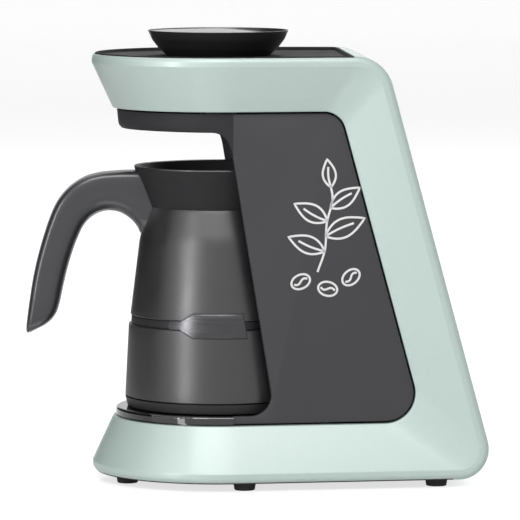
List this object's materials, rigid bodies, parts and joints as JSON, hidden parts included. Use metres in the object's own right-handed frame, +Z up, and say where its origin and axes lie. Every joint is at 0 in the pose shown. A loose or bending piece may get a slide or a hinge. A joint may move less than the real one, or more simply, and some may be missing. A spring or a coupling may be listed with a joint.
{
  "type": "electric turkish coffee maker",
  "caption": "Electric Turkish coffee maker: a leaning C-shaped machine, a round stand with a handled lift-off pot under its head, and a press button on top.",
  "frame": {"origin": "middle of the outline on the ground, under the feet", "axes": "+Z up; +X towards the back of the machine, so the pot's handle points along -X; +Y across it, to its far side"},
  "size_m": [0.2452, 0.136, 0.2414],
  "materials": {
    "mint_shell": "pearl gloss",
    "panel_charcoal": "satin",
    "housing_dark": "satin",
    "deck_dark": "matt",
    "pod_black": "gloss",
    "button_light": "gloss",
    "button_works": "plain",
    "spring_steel": "bright",
    "stand_black": "gloss",
    "under_black": "matt",
    "contact_brass": "plain",
    "foot_rubber": "matt",
    "screw_steel": "zinc",
    "board_green": "varnished",
    "component_black": "plain",
    "capacitor_yellow": "plain",
    "supply_case": "plain",
    "terminal_white": "plain",
    "wire_sleeve": "plain",
    "window_dark": "gloss",
    "pot_charcoal": "satin",
    "collar_charcoal": "matt",
    "liner_steel": "dark non-stick coat",
    "heater_aluminium": "cast",
    "element_steel": "oxidised",
    "band_chrome": "polished",
    "handle_charcoal": "semi gloss"
  },
  "bodies": {
    "machine": {"outer_frame": "mint_shell", "left_side_panel": "panel_charcoal", "right_side_panel": "panel_charcoal", "top_deck": "deck_dark", "head_housing": "housing_dark", "control_pod": "pod_black", "control_board": "board_green", "tact_switch": "component_black", "buzzer": "component_black", "sensor_window": "window_dark", "sensor_board": "board_green", "pot_bay": "housing_dark", "stand_disc": "stand_black", "base_connector": "under_black", "connector_contacts": "contact_brass", "bottom_plate": "under_black", "front_left_foot": "foot_rubber", "front_right_foot": "foot_rubber", "middle_left_foot": "foot_rubber", "middle_right_foot": "foot_rubber", "rear_left_foot": "foot_rubber", "rear_right_foot": "foot_rubber", "deck_screws": "screw_steel", "bottom_screws": "screw_steel", "power_board": "board_green", "relay": "component_black", "filter_capacitor": "capacitor_yellow", "supply_block": "supply_case", "terminal_block": "terminal_white", "head_wires": "wire_sleeve", "cord_gland": "under_black", "cord_clamp": "under_black"},
    "pot": {"pot_shell": "pot_charcoal", "pot_collar": "collar_charcoal", "pot_liner": "liner_steel", "pot_base": "under_black", "pot_socket": "under_black", "socket_contacts": "contact_brass", "heater_plate": "heater_aluminium", "heating_element": "element_steel", "thermal_cutout": "element_steel", "badge_band": "band_chrome", "pot_handle": "handle_charcoal"},
    "button": {"start_button": "button_light", "button_stem": "button_works", "stem_clip": "spring_steel", "button_spring": "spring_steel"}
  },
  "joints": [
    {"name": "pot_lift", "type": "slide", "parent": "machine", "child": "pot", "axis": [0, 0, 1], "range_m": [0, 0.018]},
    {"name": "start_button_press", "type": "slide", "parent": "machine", "child": "button", "axis": [0, 0, -1], "range_m": [0, 0.0015], "stiffness_N_per_m": 300, "springref_m": -0.004, "deforming": ["button_spring"]}
  ]
}
